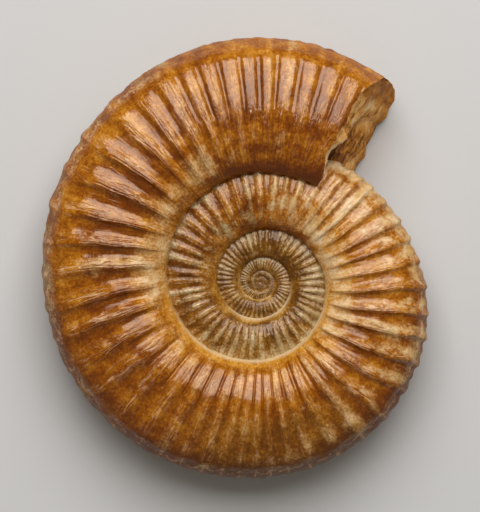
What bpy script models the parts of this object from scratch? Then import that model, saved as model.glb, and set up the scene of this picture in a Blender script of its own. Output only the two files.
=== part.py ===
# Ribbed ammonite, lying on its flank: a flat coil of whorls turned to one solid stone.
#
# Places along the coil are given in whorls, counted back from the broken mouth: 0 is the mouth,
# 1 is one whorl earlier, and so on to the first chamber in the middle. A place across a whorl is
# its share of the way from the umbilical seam (0) to the outer edge of the coil, the venter (1).

import math
import random

import bmesh
import bpy
from mathutils import Matrix, Vector

MM = 0.001

# The coil, in millimetres.
MOUTH_BEARING = 60.0  # degrees from +X, seen from above
SEAM_RADIUS = 27.4  # umbilical seam at the mouth, before it pulls in
SEAM_DIP = 1.9  # how far the seam pulls in towards the mouth
SEAM_DIP_REACH = 0.13  # whorls over which it does so
WHORL_GROWTH = 2.12  # how much the coil shrinks in one whorl
VENTER_RADIUS = (
    (0.0, 54.9),
    (0.06, 56.1),
    (0.13, 55.7),
    (0.3, 50.9),
    (0.4, 48.7),
    (0.5, 46.6),
    (0.7, 42.5),
    (0.8, 39.2),
    (0.9, 34.9),
    (1.0, 32.5),
)
WHORLS = 4.0  # the first chamber is this far back

# The section of a whorl.
THICKNESS_SHARE = 0.43  # half thickness over the height from seam to venter
MOST_HALF_THICKNESS = 12.9
CREST_SHARE = 0.42  # where the flank stands highest
FLANK_TAPER = 0.3  # how much lower the flank is at the venter
SHOULDER_POWER = 8.0  # sharpness of the shoulder between flank and venter
OUTER_STEPS = (0.06, 0.17, 0.36, 0.56, 0.79, 0.95, 1.0)  # columns of the open last whorl
INNER_STEPS = (0.12, 0.45)  # columns of the earlier whorls

# The ribs.
RIB_PITCH = (  # degrees between ribs round the last whorl
    (0.0, 5.2),
    (0.13, 5.4),
    (0.18, 7.6),
    (0.26, 8.6),
    (0.32, 10.2),
    (0.4, 9.4),
    (0.5, 8.6),
    (0.58, 5.2),
    (0.64, 6.6),
    (0.72, 10.2),
    (0.78, 10.6),
    (0.86, 9.0),
    (1.0, 8.3),
)
INNER_PITCH = 7.8  # the same on the earlier whorls
PITCH_JITTER = 0.14
PITCH_SEED = 2499
RIB_ROWS = (0.0, 0.25, 0.5, 0.75)  # rows of the mesh, as shares of the way from one rib to the next
ROOF_RIB = (1.0, 0.45, 0.0, 0.45)  # height at those rows of a rib with plane sides
FLAT_RIB = (1.0, 0.95, 0.0, 0.95)  # a flat band with a narrow groove beside it
FLAT_UNTIL = 0.14  # the ribs by the mouth are flat bands
BAR_WHORLS = (0.42, 0.66)  # here the ribs are flat bars on the inner flank
FLANK_MIDDLE = 0.46  # the inner flank gives way to the outer at this share
RIB_RELIEF = 0.042  # rib height over the height from seam to venter, times the two below
INNER_TALL = (
    (0.0, 0.2),
    (0.12, 0.3),
    (0.2, 0.9),
    (0.4, 0.8),
    (0.5, 0.6),
    (0.62, 0.6),
    (0.72, 1.3),
    (0.8, 1.25),
    (1.0, 0.9),
)
OUTER_TALL = (
    (0.0, 0.35),
    (0.12, 0.4),
    (0.2, 0.95),
    (0.35, 0.9),
    (0.45, 0.7),
    (0.6, 0.6),
    (0.7, 0.95),
    (0.8, 1.0),
    (1.0, 0.7),
)
VENTER_FADE = 0.5  # the ribs are this much lower on the venter
RIB_LEAN = (  # degrees that a rib runs forward from the seam to the outer flank; minus is back
    (0.0, 0.0),
    (0.1, -1.0),
    (0.2, -4.5),
    (0.3, -8.0),
    (0.38, -5.5),
    (0.46, -4.0),
    (0.53, -0.5),
    (0.61, 0.0),
    (0.66, -5.0),
    (0.71, -9.5),
    (0.78, -6.5),
    (0.86, -4.5),
    (0.94, -3.0),
    (1.0, -1.0),
)
LEAN_SHARE = 0.85  # the ribs run straight from here to the venter
INNER_LEAN = -2.0

# The broken mouth: the break runs forward as it goes down.
BREAK_RUN = 6.3  # how much further forward it is at the bottom
BREAK_REACH = 0.07  # whorls over which the rows of the mesh follow the break
BREAK_DEPTH = 1.8  # roughness of the break
BREAK_RINGS = 3

REST_LEAN = 1.27  # degrees: the thick side by the mouth lifts the coil
REST_BEARING = 0.0  # the axis of that lean, degrees from +X
REST_WEAR = 0.8  # worn off the rib crests that it lies on


def smooth_step(low, high, value):
    t = min(max((value - low) / (high - low), 0.0), 1.0)
    return t * t * (3.0 - 2.0 * t)


def curve_value(points, x):
    """A smooth curve through (x, y) points, by cubic Hermite pieces."""
    x = min(max(x, points[0][0]), points[-1][0])
    last = len(points) - 1
    i = next(k for k in range(last) if x <= points[k + 1][0])

    def slope(k):
        a, b = points[max(k - 1, 0)], points[min(k + 1, last)]
        return (b[1] - a[1]) / (b[0] - a[0])

    (x0, y0), (x1, y1) = points[i], points[i + 1]
    span = x1 - x0
    t = (x - x0) / span
    return (
        y0 * (1 + 2 * t) * (1 - t) ** 2
        + slope(i) * span * t * (1 - t) ** 2
        + y1 * t * t * (3 - 2 * t)
        - slope(i + 1) * span * t * t * (1 - t)
    )


def seam_radius(whorl):
    dip = SEAM_DIP * (1.0 - smooth_step(0.0, SEAM_DIP_REACH, whorl))
    return SEAM_RADIUS * WHORL_GROWTH**-whorl - dip


def venter_radius(whorl):
    if whorl <= 1.0:
        return curve_value(VENTER_RADIUS, whorl)
    return VENTER_RADIUS[-1][1] * WHORL_GROWTH ** (1.0 - whorl)


def whorl_height(whorl):
    return venter_radius(whorl) - seam_radius(whorl)


def half_thickness(whorl):
    return min(THICKNESS_SHARE * whorl_height(whorl), MOST_HALF_THICKNESS)


def cover_share(whorl):
    """Share of the whorl one turn earlier at which this whorl's seam lies on it."""
    earlier = whorl + 1.0
    return (seam_radius(whorl) - seam_radius(earlier)) / whorl_height(earlier)


def flank_height(whorl, share):
    """Height of the smooth flank over the coil's middle plane."""
    top = half_thickness(whorl)
    if share >= CREST_SHARE:
        across = (share - CREST_SHARE) / (1.0 - CREST_SHARE)
        shoulder = max(1.0 - across**SHOULDER_POWER, 0.0) ** 0.45
        return top * (1.0 - FLANK_TAPER * across**1.5) * shoulder
    foot = 0.6 * top
    if whorl + 1.0 <= WHORLS:
        foot = flank_height(whorl + 1.0, cover_share(whorl))
    across = (CREST_SHARE - share) / CREST_SHARE
    return foot + (top - foot) * math.sqrt(max(1.0 - across**2, 0.0))


def rib_lines():
    """Rib starts in whorls from the mouth inwards, so that a rib starts at each whole whorl."""
    seeded = random.Random(PITCH_SEED)
    starts = []
    for whorl in range(int(WHORLS)):
        steps = []
        reached = 0.0
        while reached < 1.0:
            pitch = INNER_PITCH
            if whorl == 0:
                pitch = curve_value(RIB_PITCH, reached)
            steps.append(pitch / 360.0 * (1.0 + PITCH_JITTER * seeded.uniform(-1.0, 1.0)))
            reached += steps[-1]
        place = float(whorl)
        for step in steps:
            starts.append(place)
            place += step / reached
    return starts


def stations():
    """(whorl, crest on the inner flank, crest on the outer flank) of each row of the mesh."""
    starts = rib_lines() + [WHORLS]
    rows = []
    for start, end in zip(starts, starts[1:]):
        inner, outer = ROOF_RIB, ROOF_RIB
        if start < FLAT_UNTIL:
            inner, outer = FLAT_RIB, FLAT_RIB
        elif BAR_WHORLS[0] <= start < BAR_WHORLS[1]:
            inner = FLAT_RIB
        every = 1 if start < 2.0 else 2  # the small early ribs have fewer rows
        if start >= 3.0:
            rows.append((start, 0.5, 0.5))
            continue
        for share, *crests in list(zip(RIB_ROWS, inner, outer))[::every]:
            rows.append((start + (end - start) * share, *crests))
    rows.append((WHORLS, 0.5, 0.5))
    return rows


def rib_rise(whorl, share, inner, outer):
    """How far a rib stands out at this share of the flank; troughs are below the mean."""
    outward = smooth_step(FLANK_MIDDLE - 0.1, FLANK_MIDDLE + 0.1, share)
    crest = inner + (outer - inner) * outward
    tall = curve_value(INNER_TALL, whorl) * (1.0 - outward) + curve_value(OUTER_TALL, whorl) * outward
    ends = smooth_step(0.02, 0.17, share) * (1.0 - VENTER_FADE * smooth_step(0.75, 1.0, share))
    return (crest - 0.5) * tall * ends * RIB_RELIEF * whorl_height(whorl)


def rib_lean(whorl, share):
    lean = curve_value(RIB_LEAN, whorl) if whorl < 1.0 else INNER_LEAN
    free = smooth_step(0.0, BREAK_REACH, abs(whorl)) * smooth_step(0.0, BREAK_REACH, abs(whorl - 1.0))
    return lean * free * min(share / LEAN_SHARE, 1.0)


def break_ahead(radius, height):
    """Degrees by which the break lies further forward here than at the top."""
    run = BREAK_RUN * smooth_step(-0.75, 1.0, -height / MOST_HALF_THICKNESS)
    return math.degrees(run / radius)


def break_shift(whorl, share, side):
    """Degrees by which the rows of the mesh run forward beside the break and under it."""
    radius = seam_radius(whorl) + share * whorl_height(whorl)
    at_mouth = 1.0 - smooth_step(0.0, BREAK_REACH, abs(whorl))
    under_mouth = (1.0 - smooth_step(0.0, BREAK_REACH, abs(whorl - 1.0))) * smooth_step(0.0, 0.5, share)
    return break_ahead(radius, side * flank_height(whorl, share)) * (at_mouth + under_mouth)


def coil_point(bearing, radius, height):
    turn = math.radians(bearing)
    return Vector((radius * math.cos(turn), radius * math.sin(turn), height))


def ribbed_point(whorl, share, side, rise):
    """A point of the flank, raised by rise along the flank's own normal. Side is 1 above, -1 below."""
    height = flank_height(whorl, share)
    across = Vector((1.0, 0.0))
    if share < 1.0:
        before, after = max(share - 0.01, 0.0), share + 0.01
        climb = flank_height(whorl, min(after, 1.0)) - flank_height(whorl, before)
        across = Vector((-climb, (after - before) * whorl_height(whorl))).normalized()
    radius = seam_radius(whorl) + share * whorl_height(whorl) + across.x * rise
    return coil_point(MOUTH_BEARING + 360.0 * whorl, radius, side * (height + across.y * rise))


def flank_point(whorl, share, side, crests):
    """The vertex of one row at this share of the flank."""
    ahead = rib_lean(whorl, share) + break_shift(whorl, share, side)
    rise = rib_rise(whorl, share, *crests)
    return ribbed_point(whorl - ahead / 360.0, share, side, rise)


def seam_point(whorl, side, crests_at):
    """The vertex of one row at the umbilical seam: it lies on the whorl one turn earlier."""
    if whorl + 1.0 > WHORLS + 1e-6:
        return ribbed_point(whorl, 0.0, side, 0.0)
    place = whorl - break_shift(whorl, 0.0, side) / 360.0
    share = cover_share(place)
    row = whorl + 1.0 + rib_lean(whorl + 1.0, share) / 360.0
    return ribbed_point(place + 1.0, share, side, rib_rise(row, share, *crests_at(row)))


def bridge(bm, first, second):
    """Joins two rows of (place, vertex) that run the same way with triangles."""
    i = j = 0
    while i < len(first) - 1 or j < len(second) - 1:
        ahead_first = first[i + 1][0] if i < len(first) - 1 else math.inf
        ahead_second = second[j + 1][0] if j < len(second) - 1 else math.inf
        if ahead_first <= ahead_second:
            corners = (first[i][1], first[i + 1][1], second[j][1])
            i += 1
        else:
            corners = (first[i][1], second[j + 1][1], second[j][1])
            j += 1
        if len(set(corners)) == 3:
            bm.faces.new(corners)


def crest_reader(rows):
    """A function giving the crests of the ribs at any place between two rows."""

    def crests_at(whorl):
        whorl = min(max(whorl, rows[0][0]), rows[-1][0])
        i = max(k for k, row in enumerate(rows[:-1]) if row[0] <= whorl)
        before, after = rows[i], rows[i + 1]
        t = (whorl - before[0]) / (after[0] - before[0])
        return tuple(before[k] + (after[k] - before[k]) * t for k in (1, 2))

    return crests_at


def fill_break(bm, outer, inner):
    """Closes the mouth between the end of the last whorl and the whorl that it lies on.

    Both lines of vertices run from the upper seam to the lower one.
    """
    steps = len(outer) - 1
    ring = outer
    for k in range(1, BREAK_RINGS + 1):
        blend = k / (BREAK_RINGS + 1.0)
        new_ring = [outer[0]]
        for j in range(1, steps):
            at = j / steps * (len(inner) - 1)
            i = min(int(at), len(inner) - 2)
            foot = inner[i].co.lerp(inner[i + 1].co, at - i)
            spot = outer[j].co.lerp(foot, blend)
            radius = math.hypot(spot.x, spot.y)
            rough = math.sin(0.9 * spot.z + 1.7) * math.cos(0.55 * radius) + 0.6 * math.sin(1.9 * radius + spot.z)
            ledge = smooth_step(-1.5, 1.0, spot.z) - 0.4
            back = math.degrees(BREAK_DEPTH * (0.45 * rough + 0.8 * ledge) / radius)
            bearing = MOUTH_BEARING - break_ahead(radius, spot.z) + back
            new_ring.append(bm.verts.new(coil_point(bearing, radius, spot.z)))
        new_ring.append(outer[-1])
        bridge(bm, list(enumerate(ring)), list(enumerate(new_ring)))
        ring = new_ring
    share = steps / (len(inner) - 1.0)
    bridge(bm, list(enumerate(ring)), [(i * share, vert) for i, vert in enumerate(inner)])


def coil_mesh():
    """The closed surface of the coil, in its own frame, in millimetres."""
    bm = bmesh.new()
    rows = stations()
    crests_at = crest_reader(rows)
    last = [row for row in rows if row[0] <= 1.0 + 1e-9]
    rest = [row for row in rows if row[0] >= 1.0 - 1e-9]

    seams = {}  # side: [(place, vertex)] along the whole umbilical seam
    for side in (1, -1):
        seams[side] = [(row[0], bm.verts.new(seam_point(row[0], side, crests_at))) for row in rows]

    # The open last whorl: a strip from the upper seam over the venter to the lower seam.
    bands = []
    for i, (whorl, *crests) in enumerate(last):
        upper = [bm.verts.new(flank_point(whorl, share, 1, crests)) for share in OUTER_STEPS]
        lower = [bm.verts.new(flank_point(whorl, share, -1, crests)) for share in OUTER_STEPS[:-1]]
        bands.append([seams[1][i][1]] + upper + lower[::-1] + [seams[-1][i][1]])
    for before, after in zip(bands, bands[1:]):
        if after is bands[-1]:
            continue
        for j in range(len(before) - 1):
            bm.faces.new((before[j], after[j], after[j + 1], before[j + 1]))

    # The row under the mouth also takes in the ends of the last whorl's seam.
    mouth, under = bands[0], bands[-1]
    under_places = (0.0,) + OUTER_STEPS
    cut = next(k for k, share in enumerate(under_places) if share > cover_share(0.0))
    width = len(under)
    taken = under[:cut] + [seams[1][0][1]] + under[cut : width - cut] + [seams[-1][0][1]] + under[width - cut :]
    before = bands[-2]
    bridge(bm, [(k, vert) for k, vert in enumerate(before)], number_row(taken, cut, width))
    fill_break(bm, mouth, taken[cut : len(taken) - cut])

    # The earlier whorls: only the flanks that later whorls leave open.
    for side in (1, -1):
        start = taken[:cut] if side == 1 else taken[::-1][:cut]
        seam = dict(seams[side])
        lines = [[seam[row[0]] for row in rest]]
        for share in INNER_STEPS:
            lines.append([None] + [bm.verts.new(flank_point(row[0], share, side, row[1:])) for row in rest[1:]])
        first_row = [(0.0, lines[0][1])] + [(share, line[1]) for share, line in zip(INNER_STEPS, lines[1:])]
        scale = INNER_STEPS[-1] / under_places[cut - 1]
        bridge(bm, [(place * scale, vert) for place, vert in zip(under_places, start)], first_row)
        for before, after in zip(lines, lines[1:]):
            for i in range(1, len(rest) - 1):
                bm.faces.new((before[i], after[i], after[i + 1], before[i + 1]))
        edge = [(1.0, start[-1])] + [(row[0], vert) for row, vert in zip(rest[1:], lines[-1][1:])]
        shore = [(place + 1.0, vert) for place, vert in seams[side] if place + 1.0 <= WHORLS + 1e-9]
        bridge(bm, edge, shore)

        # The first chamber: a small dome inside the innermost turn of the seam.
        turn = [vert for place, vert in seams[side] if place >= WHORLS - 1.0 - 1e-9]
        ring = turn + [line[-1] for line in lines[1:]]
        middle = sum((vert.co for vert in ring), Vector()) / len(ring)
        tip = bm.verts.new((middle.x, middle.y, middle.z * 1.1))
        for a, b in zip(ring, ring[1:] + ring[:1]):
            bm.faces.new((a, b, tip))
    return bm


def number_row(taken, cut, width):
    """Places of a row that has one more vertex on each side than the row before it."""
    numbers = []
    number = 0.0
    for k in range(len(taken)):
        if k == cut:
            numbers.append(cut - 0.5)
        elif k == len(taken) - cut - 1:
            numbers.append(width - cut - 0.5)
        else:
            numbers.append(number)
            number += 1.0
    return list(zip(numbers, taken))


def main():
    for thing in list(bpy.data.objects):
        bpy.data.objects.remove(thing)

    bm = coil_mesh()

    # Lying at rest: leaned so that the lower flank is level, worn flat where it touches.
    lean = Matrix.Rotation(math.radians(REST_LEAN), 3, coil_point(REST_BEARING, 1.0, 0.0))
    for vert in bm.verts:
        vert.co = lean @ vert.co
    ground = min(vert.co.z for vert in bm.verts) + REST_WEAR
    for vert in bm.verts:
        vert.co.z = max(vert.co.z, ground)

    # The origin is under the middle of the whole outline.
    low = [min(vert.co[axis] for vert in bm.verts) for axis in range(3)]
    high = [max(vert.co[axis] for vert in bm.verts) for axis in range(3)]
    middle = Vector(((low[0] + high[0]) / 2, (low[1] + high[1]) / 2, low[2]))
    for vert in bm.verts:
        vert.co = (vert.co - middle) * MM

    bmesh.ops.triangulate(bm, faces=bm.faces[:])
    bmesh.ops.recalc_face_normals(bm, faces=bm.faces[:])
    for face in bm.faces:
        face.smooth = True

    mesh = bpy.data.meshes.new("ammonite")
    bm.to_mesh(mesh)
    bm.free()
    stone = bpy.data.materials.new("honey calcite")
    stone.use_nodes = True
    shader = stone.node_tree.nodes["Principled BSDF"]
    shader.inputs["Base Color"].default_value = (0.36, 0.15, 0.035, 1.0)
    shader.inputs["Roughness"].default_value = 0.28
    mesh.materials.append(stone)
    piece = bpy.data.objects.new("ammonite", mesh)
    bpy.context.scene.collection.objects.link(piece)
    print("ammonite:", len(mesh.polygons), "triangles")


main()
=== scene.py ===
import math
import random

import bpy
import numpy as np
from mathutils import Matrix, Vector, noise


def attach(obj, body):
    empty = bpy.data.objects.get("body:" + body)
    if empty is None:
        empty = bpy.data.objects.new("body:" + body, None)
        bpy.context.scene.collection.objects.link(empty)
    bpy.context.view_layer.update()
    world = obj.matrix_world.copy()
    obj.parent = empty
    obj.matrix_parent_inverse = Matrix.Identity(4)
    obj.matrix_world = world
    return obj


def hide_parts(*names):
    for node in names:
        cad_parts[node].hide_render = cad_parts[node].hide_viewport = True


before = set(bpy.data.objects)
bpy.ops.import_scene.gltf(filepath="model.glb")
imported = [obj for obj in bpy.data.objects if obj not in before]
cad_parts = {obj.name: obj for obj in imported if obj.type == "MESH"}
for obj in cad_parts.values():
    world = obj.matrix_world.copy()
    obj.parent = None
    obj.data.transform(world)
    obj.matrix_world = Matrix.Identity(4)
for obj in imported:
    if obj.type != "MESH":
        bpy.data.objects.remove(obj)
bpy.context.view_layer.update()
print("frame loaded")

mm = 0.001
perMetre = 1000.0               # mm

# Places along the coil are whorls counted back from the broken mouth.
# A place across a whorl is its share of the way from the umbilical seam to the venter.
coil = {
    "mouthBearing": 60.0,       # degrees from +X, seen from above
    "seamRadius": 27.4,         # mm
    "seamDip": 1.9,             # the seam pulls in by this much at the mouth
    "seamDipReach": 0.13,
    "growth": 2.12,             # shrinks this much in one whorl
    "venterRadius": [(0.0, 54.9), (0.06, 56.1), (0.13, 55.7), (0.3, 50.9), (0.4, 48.7),
                     (0.5, 46.6), (0.7, 42.5), (0.8, 39.2), (0.9, 34.9), (1.0, 32.5)],
    "thicknessShare": 0.43,
    "mostHalfThickness": 12.9,
    "crestShare": 0.42,         # where the flank stands highest
    "taper": 0.3,               # how much lower the flank is at the venter
    "shoulderPower": 8.0,
    "shoulderRound": 0.45,
    "whorls": 6.0,
    "tuck": 0.06,               # an inner whorl is built this far in under the next one
    "domeHeight": 0.62,         # mm, the first chamber
    "domeEdge": (0.8, 2.2),     # mm from the axis, where it gives way to the whorls
    "columns": (16, 28),        # of the mesh, on the inner and the outer flank
    "axisAt": (5.937, -5.531, 12.1),  # mm, the coil's middle over the surface it lies on
    "restLean": 1.27,           # degrees about X
}

ribs = {
    "pitch": [(0.0, 5.2), (0.13, 5.4), (0.18, 7.6), (0.26, 8.6), (0.32, 10.2), (0.4, 9.4), (0.5, 8.6),
              (0.58, 5.2), (0.64, 6.6), (0.72, 10.2), (0.78, 10.6), (0.86, 9.0), (1.0, 8.3)],   # degrees
    "innerPitch": 7.8,
    "pitchJitter": 0.14,
    "innerJitter": 0.25,
    "pitchSeed": 2499,
    "flatUntil": 0.14,          # the ribs by the mouth are flat bands
    "barWhorls": (0.42, 0.66),  # here they are flat bars on the inner flank
    "flankMiddle": 0.46,
    "relief": 0.042,            # of the height from seam to venter
    "innerTall": [(0.0, 0.2), (0.12, 0.3), (0.2, 0.9), (0.4, 0.75), (0.5, 0.42), (0.62, 0.5), (0.72, 1.05),
                  (0.8, 1.05), (0.88, 0.85), (1.0, 0.65)],
    "outerTall": [(0.0, 0.35), (0.12, 0.4), (0.2, 0.95), (0.35, 0.85), (0.45, 0.6), (0.6, 0.5), (0.7, 0.85),
                  (0.8, 0.9), (0.88, 0.75), (1.0, 0.5)],
    "foot": [(0.1, 0.18), (0.18, 0.25), (0.36, 0.24), (0.45, 0.12), (0.7, 0.1), (0.8, 0.17), (0.88, 0.27),
             (1.0, 0.27), (1.1, 0.34), (2.0, 0.34)],
    "venterFade": 0.8,
    "fadeFrom": [(0.0, 0.72), (0.12, 0.7), (0.18, 0.62), (0.4, 0.6), (0.5, 0.58), (0.62, 0.7), (0.7, 0.8),
                 (1.0, 0.8)],
    "lean": [(0.0, 0.0), (0.1, -1.0), (0.2, -4.5), (0.3, -8.0), (0.38, -5.5), (0.46, -4.0), (0.53, -0.5),
             (0.61, 0.0), (0.66, -5.0), (0.71, -9.5), (0.78, -6.5), (0.86, -4.5), (0.94, -3.0), (1.0, -1.0)],
    "leanShare": 0.85,
    "innerLean": -2.0,
    # half width of the top and width of one side, in pitches, on the inner and the outer flank
    "innerTop": [(0.0, 0.3), (0.12, 0.26), (0.17, 0.09), (0.3, 0.08), (0.42, 0.3), (0.5, 0.37), (0.62, 0.35),
                 (0.7, 0.08), (1.0, 0.06), (1.15, 0.14), (2.0, 0.15)],
    "innerSide": [(0.0, 0.16), (0.12, 0.2), (0.17, 0.26), (0.3, 0.28), (0.42, 0.14), (0.62, 0.12),
                  (0.7, 0.28), (1.0, 0.32), (1.15, 0.22), (2.0, 0.24)],
    "outerTop": [(0.0, 0.31), (0.12, 0.29), (0.17, 0.16), (0.22, 0.08), (0.3, 0.08), (0.5, 0.04), (1.0, 0.07),
                 (2.0, 0.06)],
    "outerSide": [(0.0, 0.17), (0.12, 0.17), (0.17, 0.2), (0.25, 0.27), (0.5, 0.34), (1.0, 0.3), (2.0, 0.36)],
    # how much wider the side towards the mouth is
    "skew": [(0.0, 0.4), (0.12, 0.35), (0.18, 0.45), (0.4, 0.45), (0.5, 0.1), (0.64, -0.1), (0.72, -0.45),
             (0.94, -0.4), (1.0, 0.0)],
    "threadShown": [(0.1, 0.5), (0.18, 1.0), (0.4, 1.0), (0.46, 0.3), (0.64, 0.3), (0.7, 1.0)],
    "uneven": (0.72, 1.18),     # ribs differ this much in height and width
    "unevenSeed": 23,
    "wander": 0.03,             # how far a rib swings to either side, in pitches
    "wavy": 0.12,               # how much its height swings along it
    "soft": 0.06,               # rounds the foot and the edge of its sides
    "rowsPerRib": [18, 11, 7, 5, 3, 2],   # by whorl
    "crowding": (0.6, -0.65),   # how much rows crowd to a crest, and away from it where ribs are flat bands
}

surface = {
    "lumps": (6.0, 0.14),       # mm across, mm high
    "dents": (3.0, 0.08),
    "ripples": (1.4, 0.06),
    "knobs": (2.3, 0.45),       # on the venter
    "seamBead": 0.22,           # mm, along the seam
    "crestThreads": (0.085, 0.13),    # fine threads along a crest: apart and to each side, in pitches
    "threadHeight": 0.2,        # of the rib's height
    "shoulderKnobs": 0.3,       # two to a rib
}

breakFace = {
    "run": 6.3,                 # how much further forward it is at the bottom, mm
    "reach": 0.07,
    "bevel": 2.0,               # how far the upper rim is broken back, mm
    "ragged": 0.5,              # the same for the lower rim
    "ledgeStart": (0.3, 0.08),  # share across and share down at which the ledge starts
    "ledgeFall": 0.85,
    "hollow": 2.3,              # depth under the ledge, mm
    "lumps": (4.0, 0.9),        # mm across, mm deep
    "fibres": (0.8, 0.42),      # the same, along the rim
    "tone": (0.78, 0.4, 0.2),   # of the stone, and how far the fibres and the lumps move it
    "hollowShade": 0.55,               # painted shade: how much darker the hollow under the ledge is than the rest
    "skinDepth": (1.2, 5.2),    # mm from the outer edge over which the skin gives way to broken stone
    "across": 96,
    "down": 72,
}


def smooth(low, high, value):
    t = np.clip((value - low) / (high - low), 0.0, 1.0)
    return t * t * (3.0 - 2.0 * t)


def curveAt(points, x):
    # a smooth line through (x, y) points, flat beyond its ends
    px, py = np.array(points, dtype=float).T
    steep = np.gradient(py, px)
    steep[1:-1] = (py[2:] - py[:-2]) / (px[2:] - px[:-2])
    x = np.clip(x, px[0], px[-1])
    i = np.clip(np.searchsorted(px, x, side="left") - 1, 0, len(px) - 2)
    span = px[i + 1] - px[i]
    t = (x - px[i]) / span
    return (py[i] * (1 + 2 * t) * (1 - t) ** 2 + steep[i] * span * t * (1 - t) ** 2
            + py[i + 1] * t * t * (3 - 2 * t) - steep[i + 1] * span * t * t * (1 - t))


def lineAt(points, x):
    # straight lines between (x, y) points
    px, py = np.array(points, dtype=float).T
    return np.interp(x, px, py)


def seamRadius(whorl):
    dip = coil["seamDip"] * (1.0 - smooth(0.0, coil["seamDipReach"], whorl))
    return coil["seamRadius"] * coil["growth"] ** -whorl - dip


def venterRadius(whorl):
    early = coil["venterRadius"][-1][1] * coil["growth"] ** (1.0 - np.maximum(whorl, 1.0))
    return np.where(whorl <= 1.0, curveAt(coil["venterRadius"], whorl), early)


def whorlHeight(whorl):
    return venterRadius(whorl) - seamRadius(whorl)


def halfThickness(whorl):
    return np.minimum(coil["thicknessShare"] * whorlHeight(whorl), coil["mostHalfThickness"])


def coverShare(whorl):
    # where on the whorl one turn earlier this whorl's seam lies
    return (seamRadius(whorl) - seamRadius(whorl + 1.0)) / whorlHeight(whorl + 1.0)


def outerFlank(whorl, share):
    across = np.clip((share - coil["crestShare"]) / (1.0 - coil["crestShare"]), 0.0, 1.0)
    shoulder = np.maximum(1.0 - across ** coil["shoulderPower"], 0.0) ** coil["shoulderRound"]
    return halfThickness(whorl) * (1.0 - coil["taper"] * across ** 1.5) * shoulder


def flankHeight(whorl, share):
    # height of the smooth flank over the middle plane
    top = halfThickness(whorl)
    foot = outerFlank(whorl + 1.0, coverShare(whorl))
    across = np.clip((coil["crestShare"] - share) / coil["crestShare"], 0.0, 1.0)
    inner = foot + (top - foot) * np.sqrt(1.0 - across ** 2)
    inner = inner + 1.5 * np.minimum(share, 0.0) * whorlHeight(whorl)     # tucked in under the seam
    return np.where(share >= coil["crestShare"], outerFlank(whorl, share), inner)


def ribLines():
    # crest lines in whorls, the same as those of the solid under this skin
    seeded = random.Random(ribs["pitchSeed"])
    lines = []
    for whorl in range(int(coil["whorls"])):
        steps, reached = [], 0.0
        while reached < 1.0:
            pitch = float(curveAt(ribs["pitch"], reached)) if whorl == 0 else ribs["innerPitch"]
            jitter = ribs["pitchJitter"] if whorl == 0 else ribs["innerJitter"]
            steps.append(pitch / 360.0 * (1.0 + jitter * seeded.uniform(-1.0, 1.0)))
            reached += steps[-1]
        place = float(whorl)
        for step in steps:
            lines.append(place)
            place += step / reached
    return np.array(lines + [coil["whorls"]])


crestLines = ribLines()
middles = 0.5 * (crestLines[1:] + crestLines[:-1])
vary = np.random.default_rng(ribs["unevenSeed"])
ribTall = vary.uniform(*ribs["uneven"], len(crestLines))
ribWide = vary.uniform(*ribs["uneven"], len(crestLines))
wobble = vary.uniform(0.0, 1.0, (len(crestLines), 3))
ribShade = vary.uniform(-1.0, 1.0, (len(crestLines), 2))
print("ribs:", int((crestLines < 1.0).sum()), "on the last whorl")


def acrossRib(whorl, share):
    # which rib is nearest, and how far from its crest, in pitches: minus is towards the mouth
    i = np.searchsorted(middles, whorl)
    before = np.concatenate(([-middles[0]], middles))[i]
    after = np.concatenate((middles, [2.0 * coil["whorls"] - middles[-1]]))[i]
    x = np.where(whorl >= crestLines[i], 0.5 * (whorl - crestLines[i]) / (after - crestLines[i]),
                 0.5 * (whorl - crestLines[i]) / (crestLines[i] - before))
    swing = np.sin(math.tau * (1.3 * share + wobble[i, 0]))
    swing = swing + 0.6 * np.sin(math.tau * (3.4 * share + wobble[i, 1]))
    return i, x + ribs["wander"] * swing * (1.0 - 4.0 * x ** 2)


def ribProfile(i, x, share, top, side, skew):
    # plane-sided ribs: height 0 to 1, and the fine threads along the edges of the top, -1 to 1
    top = top * ribWide[i]
    room = 0.49 - top
    side = np.minimum(side * (1.0 - skew * np.sign(x)), room)
    fall = (np.abs(x) - top) / side
    rise = 1.0 - np.clip(fall, 0.0, 1.0)
    soft = ribs["soft"]
    rise = rise + soft * (np.exp(-(fall / soft) ** 2) * -0.5 + np.exp(-((fall - 1.0) / soft) ** 2) * 0.5)
    tall = ribTall[i] * (1.0 + ribs["wavy"] * np.sin(math.tau * (2.2 * share + wobble[i, 2])))
    apart, spread = surface["crestThreads"]
    near = (np.abs(x) - np.where(top > 0.2, top, 0.0)) / spread
    drift = 0.5 * np.sin(math.tau * (0.9 * share + wobble[i, 0]))
    return rise * tall, np.cos(math.tau * (x / apart + drift)) * np.exp(-near ** 2)


def outerPart(share):
    # 0 on the inner flank, 1 on the outer
    return smooth(ribs["flankMiddle"] - 0.1, ribs["flankMiddle"] + 0.1, share)


def ribShape(whorl, share):
    i, x = acrossRib(whorl, share)
    skew = curveAt(ribs["skew"], whorl)
    spread = smooth(0.12, 0.6, share)
    inner = ribProfile(i, x, share, curveAt(ribs["innerTop"], whorl),
                       curveAt(ribs["innerSide"], whorl) * (0.8 + 0.2 * spread), skew)
    outer = ribProfile(i, x, share, curveAt(ribs["outerTop"], whorl),
                       curveAt(ribs["outerSide"], whorl) * (0.7 + 0.3 * spread), skew)
    return [a + (b - a) * outerPart(share) for a, b in zip(inner, outer)] + [x]


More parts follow.
